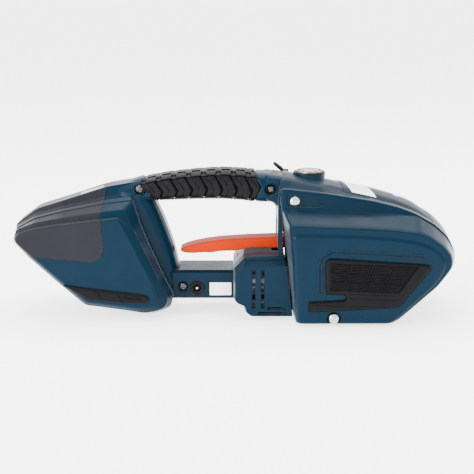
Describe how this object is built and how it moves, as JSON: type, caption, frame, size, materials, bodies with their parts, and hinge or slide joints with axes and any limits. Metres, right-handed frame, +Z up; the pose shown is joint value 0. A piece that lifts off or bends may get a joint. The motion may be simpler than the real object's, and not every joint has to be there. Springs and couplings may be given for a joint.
{
  "type": "battery strapping tool",
  "caption": "Cordless strapping hand tool: pointed battery housing, bowed rubber grip over an orange squeeze lever, and a drive head with gripping wheel, friction-weld shoe and cutter.",
  "frame": {"origin": "under the middle of the tool's length and width, at the height of the base plate's underside", "axes": "+X along the tool from the battery housing to the nose of the drive head, +Y to the strap side, +Z up from the base plate to the grip"},
  "size_m": [0.3286, 0.1014, 0.1104],
  "materials": {
    "blue_shell": "deep blue moulded plastic, satin gloss",
    "grey_cap": "dark grey moulded plastic",
    "black_rubber": "black moulded rubber, matt",
    "black_plastic": "black plastic, satin",
    "orange_lever": "vivid orange moulded plastic",
    "steel": "machined steel",
    "bright_zinc": "bright zinc plating",
    "copper_ring": "copper-toned ring",
    "aluminium": "cast and turned aluminium",
    "white_label": "blank white label",
    "blue_light": "blue indicator lens",
    "green_glass": "dark green display window",
    "board_green": "green circuit board",
    "cell_wrap": "shrink wrap of a battery cell"
  },
  "bodies": {
    "housing": {"base_plate": "steel", "base_screw_1": "bright_zinc", "base_screw_2": "bright_zinc", "base_screw_3": "bright_zinc", "battery_cable": "black_rubber", "battery_cell_1": "cell_wrap", "battery_cell_2": "cell_wrap", "battery_cell_3": "cell_wrap", "battery_cell_4": "cell_wrap", "bridge_label": "white_label", "bridge_screw": "bright_zinc", "button_bezel": "copper_ring", "button_switch": "black_plastic", "cell_holder": "black_plastic", "charging_jack": "black_plastic", "control_board": "board_green", "cover_pad": "black_rubber", "cover_screw_low": "bright_zinc", "cover_screw_top": "bright_zinc", "display_window": "green_glass", "drive_bearing_far": "steel", "drive_bearing_near": "steel", "drive_belt": "black_rubber", "eccentric_bearing_far": "steel", "eccentric_bearing_near": "steel", "end_cap": "grey_cap", "gear_cover": "blue_shell", "gear_cover_screw_1": "bright_zinc", "gear_cover_screw_2": "bright_zinc", "grip_sleeve": "black_rubber", "handle_screw_1": "bright_zinc", "handle_screw_2": "bright_zinc", "hang_lug": "steel", "housing_far": "blue_shell", "housing_near": "blue_shell", "indicator_lens": "blue_light", "lever_spring": "steel", "lobe_pad": "black_rubber", "main_frame": "aluminium", "motor": "steel", "side_cover": "blue_shell", "tension_plate": "steel", "top_label": "white_label", "top_panel": "blue_shell", "weld_plate": "steel"},
    "drive": {"drive_shaft": "steel", "bevel_gear": "steel", "drive_pulley": "aluminium"},
    "motor_rotor": {"motor_pinion": "steel"},
    "rocker": {"rocker_arm": "steel", "wheel_axle": "steel", "squeeze_lever": "orange_lever"},
    "clutch": {"clutch_pinion": "steel"},
    "wheel": {"tension_wheel": "steel"},
    "eccentric": {"eccentric_shaft": "steel"},
    "carrier": {"weld_carrier": "steel", "cutter": "bright_zinc"},
    "shoe": {"weld_shoe": "steel"},
    "button": {"thumb_button": "steel"},
    "hanger": {"hang_loop": "black_plastic"}
  },
  "joints": [
    {"name": "drive_spin", "type": "hinge", "parent": "housing", "child": "drive", "pos_m": [0.0937, 0.00115, 0.024], "axis": [0, 1, 0], "continuous": true},
    {"name": "motor_spin", "type": "hinge", "parent": "housing", "child": "motor_rotor", "pos_m": [0.0797, 0.00115, 0.024], "axis": [1, 0, 0], "continuous": true},
    {"name": "lever_squeeze", "type": "hinge", "parent": "housing", "child": "rocker", "pos_m": [0.0937, 0.00115, 0.024], "axis": [0, 1, 0], "range_deg": [0, 12], "stiffness_Nm_per_rad": 0.4, "springref_deg": -14.32, "deforming": ["lever_spring"]},
    {"name": "clutch_spin", "type": "hinge", "parent": "rocker", "child": "clutch", "pos_m": [0.0937, 0.00115, 0.024], "axis": [0, 1, 0], "continuous": true},
    {"name": "wheel_spin", "type": "hinge", "parent": "rocker", "child": "wheel", "pos_m": [0.07285, 0.00115, 0.0215], "axis": [0, 1, 0], "continuous": true},
    {"name": "eccentric_spin", "type": "hinge", "parent": "housing", "child": "eccentric", "pos_m": [0.1207, 0.00115, 0.034], "axis": [0, 1, 0], "continuous": true},
    {"name": "carrier_lift", "type": "slide", "parent": "housing", "child": "carrier", "axis": [0, 0, 1], "range_m": [0, 0.0036]},
    {"name": "shoe_rub", "type": "slide", "parent": "carrier", "child": "shoe", "axis": [1, 0, 0], "range_m": [-0.001, 0.001]},
    {"name": "button_press", "type": "slide", "parent": "housing", "child": "button", "axis": [0, 0, -1], "range_m": [0, 0.0025], "stiffness_N_per_m": 400, "springref_m": -0.001},
    {"name": "hanger_fold", "type": "hinge", "parent": "housing", "child": "hanger", "pos_m": [0.0397, 0.02165, 0.1024], "axis": [0, 1, 0], "range_deg": [0, 55]}
  ],
  "couplings": [
    {"joint": "motor_spin", "follows": "drive_spin", "ratio": -2.3333},
    {"joint": "clutch_spin", "follows": "drive_spin", "ratio": 1},
    {"joint": "wheel_spin", "follows": "drive_spin", "ratio": -0.5},
    {"joint": "eccentric_spin", "follows": "drive_spin", "ratio": 1.5556},
    {"joint": "carrier_lift", "follows": "lever_squeeze", "m_per_rad": 0.016711}
  ]
}
